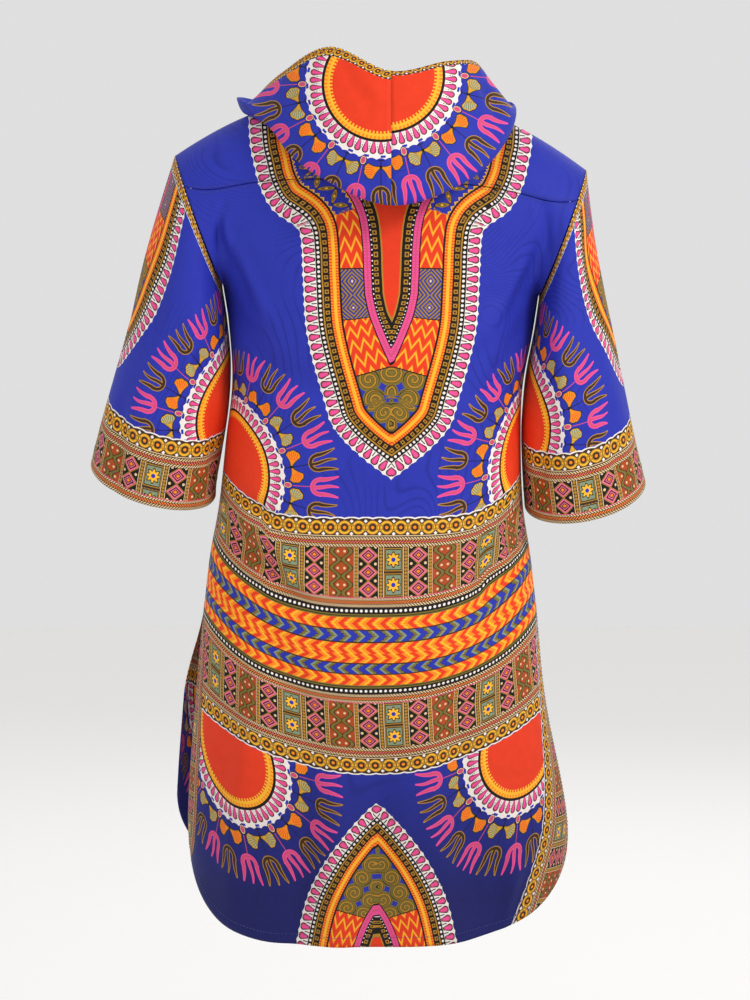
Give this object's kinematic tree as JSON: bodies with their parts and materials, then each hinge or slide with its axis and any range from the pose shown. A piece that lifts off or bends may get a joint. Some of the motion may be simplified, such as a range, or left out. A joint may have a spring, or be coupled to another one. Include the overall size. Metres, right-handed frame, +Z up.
{
  "type": "hooded dashiki tunic",
  "caption": "Long hooded dashiki tunic of printed cotton, worn and hollow: wide elbow-length sleeves, back yoke, hood down, side slits and a curved hem.",
  "frame": {"origin": "middle of the neck hole at the height of the shoulders' top, where the wearer's shoulders carry the tunic", "axes": "+Z up, the tunic's front faces -Y, the wearer's left is +X"},
  "size_m": [0.6841, 0.3367, 1.0775],
  "materials": {
    "body_print": "crisp printed cotton, slight sheen",
    "sleeve_print": "crisp printed cotton, slight sheen",
    "hood_print": "crisp printed cotton, slight sheen",
    "border_print": "crisp printed cotton, slight sheen"
  },
  "bodies": {
    "root": {"back": "body_print", "back_yoke": "body_print", "front": "body_print", "strip_left": "border_print", "strip_right": "border_print", "sleeve_left": "sleeve_print", "sleeve_right": "sleeve_print", "hood_left": "hood_print", "hood_right": "hood_print"}
  },
  "joints": []
}
